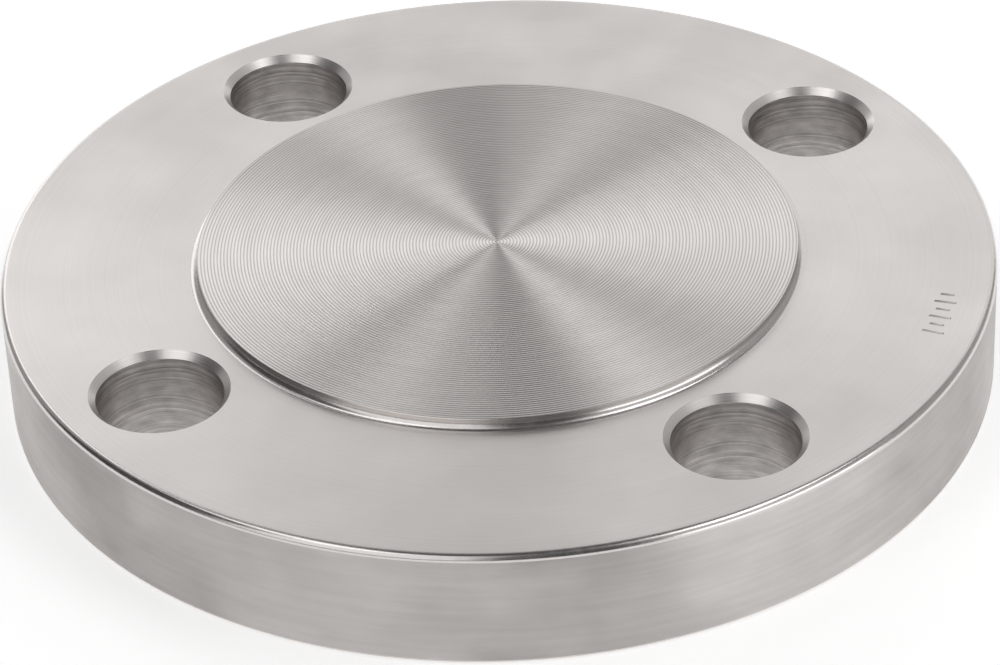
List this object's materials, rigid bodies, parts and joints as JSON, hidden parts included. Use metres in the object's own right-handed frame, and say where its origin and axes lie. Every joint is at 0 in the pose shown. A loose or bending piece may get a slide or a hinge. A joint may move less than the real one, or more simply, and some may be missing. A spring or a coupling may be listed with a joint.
{
  "type": "blind flange",
  "caption": "Raised-face blind flange: a solid round steel plate that closes a pipe end, with a spiral-serrated gasket face inside a circle of bolt holes.",
  "frame": {"origin": "centre of the flat back face", "axes": "+Z along the flange's axis, out of the gasket face; the bolt holes straddle the X and Y axes"},
  "size_m": [0.1524, 0.1524, 0.0206],
  "materials": {
    "stainless_steel": "machined stainless steel: satin faced plate and rim, spiral-serrated gasket face, bright edge rounds and fillet, drilled bores"
  },
  "bodies": {
    "root": {"blind_flange": "stainless_steel"}
  },
  "joints": []
}
